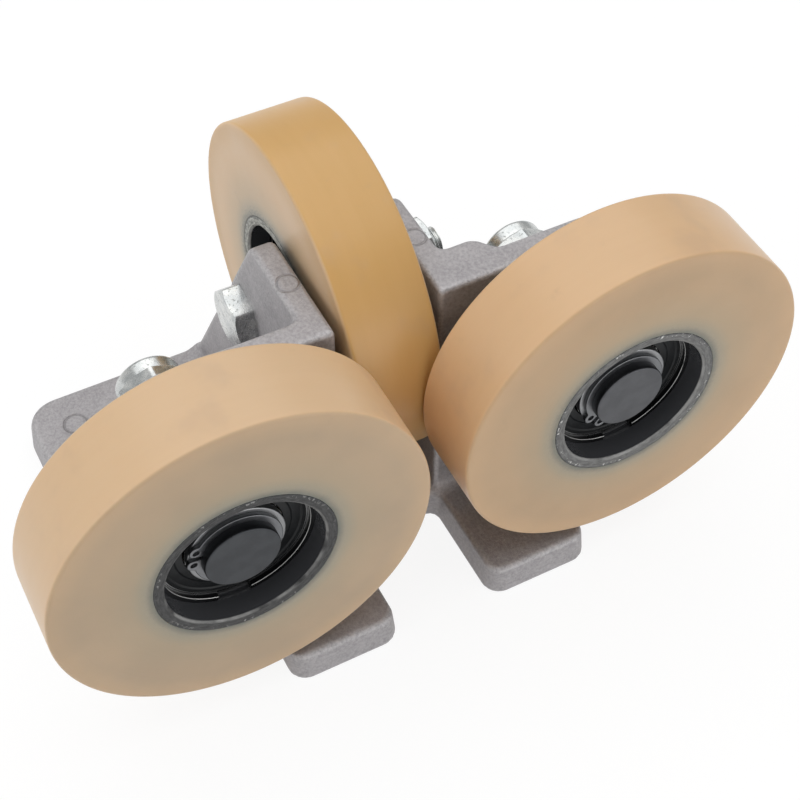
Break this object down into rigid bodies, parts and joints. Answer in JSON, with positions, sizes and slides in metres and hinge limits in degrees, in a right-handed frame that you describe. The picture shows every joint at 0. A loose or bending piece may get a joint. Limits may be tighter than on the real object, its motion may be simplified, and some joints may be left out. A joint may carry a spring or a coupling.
{
  "type": "elevator guide shoe",
  "caption": "Roller guide shoe for a lift car: cast bracket with side rollers that grip the rail blade and a nose roller across them that runs on the blade's edge.",
  "frame": {"origin": "on the flat mounting face of the base, below the middle of the nose roller's axle", "axes": "+Z out of the mounting face, +X along the rail blade's depth out of the side rollers' faces, +Y from the left to the right side roller"},
  "size_m": [0.1265, 0.21, 0.113],
  "materials": {
    "cast_aluminium": "die-cast, fine matte skin",
    "tan_tread": "cast polyurethane, smooth satin",
    "amber_tread": "cast polyurethane, smooth satin",
    "core_metal": "turned, rough",
    "black_steel": "black oxide, turned",
    "spring_steel": "phosphated spring steel",
    "bright_steel": "ground",
    "zinc_steel": "bright zinc plate",
    "nylon": "white nylon",
    "cage_plastic": "moulded",
    "seal_rubber": "moulded black rubber"
  },
  "bodies": {
    "bracket": {"bracket_casting": "cast_aluminium", "left_axle": "black_steel", "left_axle_washer": "zinc_steel", "left_axle_nut": "zinc_steel", "left_nut_insert": "nylon", "left_axle_circlip": "spring_steel", "left_support_ring": "bright_steel", "left_bearing_inner_ring": "bright_steel", "right_axle": "black_steel", "right_axle_washer": "zinc_steel", "right_axle_nut": "zinc_steel", "right_nut_insert": "nylon", "right_axle_circlip": "spring_steel", "right_support_ring": "bright_steel", "right_bearing_inner_ring": "bright_steel", "nose_bolt": "zinc_steel", "nose_washer": "zinc_steel", "nose_nut": "zinc_steel", "nose_sleeve": "bright_steel", "nose_spacers": "bright_steel", "nose_bearing_inner_ring": "bright_steel"},
    "left_roller": {"left_tyre": "tan_tread", "left_core": "core_metal", "left_core_circlip": "black_steel", "left_bearing_outer_ring": "bright_steel", "left_bearing_balls": "bright_steel", "left_bearing_cage": "cage_plastic", "left_bearing_seals": "seal_rubber"},
    "right_roller": {"right_tyre": "tan_tread", "right_core": "core_metal", "right_core_circlip": "black_steel", "right_bearing_outer_ring": "bright_steel", "right_bearing_balls": "bright_steel", "right_bearing_cage": "cage_plastic", "right_bearing_seals": "seal_rubber"},
    "nose_roller": {"nose_tyre": "amber_tread", "nose_core": "core_metal", "nose_core_circlip": "black_steel", "nose_bearing_outer_ring": "bright_steel", "nose_bearing_balls": "bright_steel", "nose_bearing_cage": "cage_plastic", "nose_bearing_seals": "seal_rubber"}
  },
  "joints": [
    {"name": "left_roller_spin", "type": "hinge", "parent": "bracket", "child": "left_roller", "pos_m": [0.063, -0.055, 0.062], "axis": [1, 0, 0], "continuous": true},
    {"name": "right_roller_spin", "type": "hinge", "parent": "bracket", "child": "right_roller", "pos_m": [0.063, 0.055, 0.062], "axis": [1, 0, 0], "continuous": true},
    {"name": "nose_roller_spin", "type": "hinge", "parent": "bracket", "child": "nose_roller", "pos_m": [0, 0, 0.063], "axis": [0, 1, 0], "continuous": true}
  ]
}
